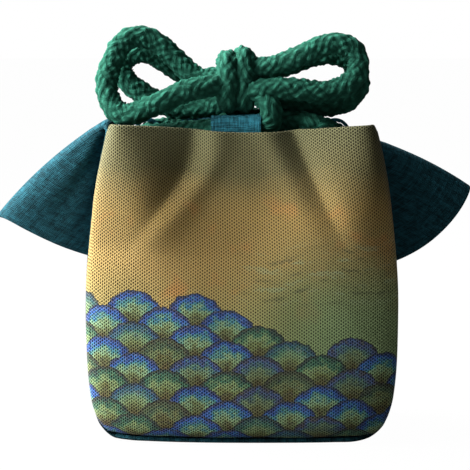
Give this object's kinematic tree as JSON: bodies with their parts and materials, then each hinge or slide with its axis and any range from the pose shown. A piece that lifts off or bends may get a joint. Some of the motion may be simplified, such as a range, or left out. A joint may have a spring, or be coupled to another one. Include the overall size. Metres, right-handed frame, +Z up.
{
  "type": "drawstring pouch",
  "caption": "Padded cloth drawstring pouch with printed front and back, a plain strip round sides and base whose ends fold out as wings, and a thick cord tied in a bow at the mouth.",
  "frame": {"origin": "middle of the base's underside, on the standing surface", "axes": "+Z up, +X to the right seen from the front, front panel towards -Y"},
  "size_m": [0.1889, 0.074, 0.1613],
  "materials": {
    "printed_canvas": "coarse plain weave, printed, matte",
    "teal_linen": "slubby plain weave, matte",
    "lining_cloth": "smooth plain weave, matte",
    "green_cord": "braided cotton, matte"
  },
  "bodies": {
    "root": {"front_panel": "printed_canvas", "back_panel": "printed_canvas", "gusset_strip": "teal_linen", "lining": "lining_cloth", "front_tab": "teal_linen", "back_tab": "teal_linen", "left_tab": "teal_linen", "right_tab": "teal_linen", "neck_cord": "green_cord", "bow_loop_left_front": "green_cord", "bow_loop_left_back": "green_cord", "bow_loop_right_front": "green_cord", "bow_loop_right_back": "green_cord", "bow_knot": "green_cord"}
  },
  "joints": []
}
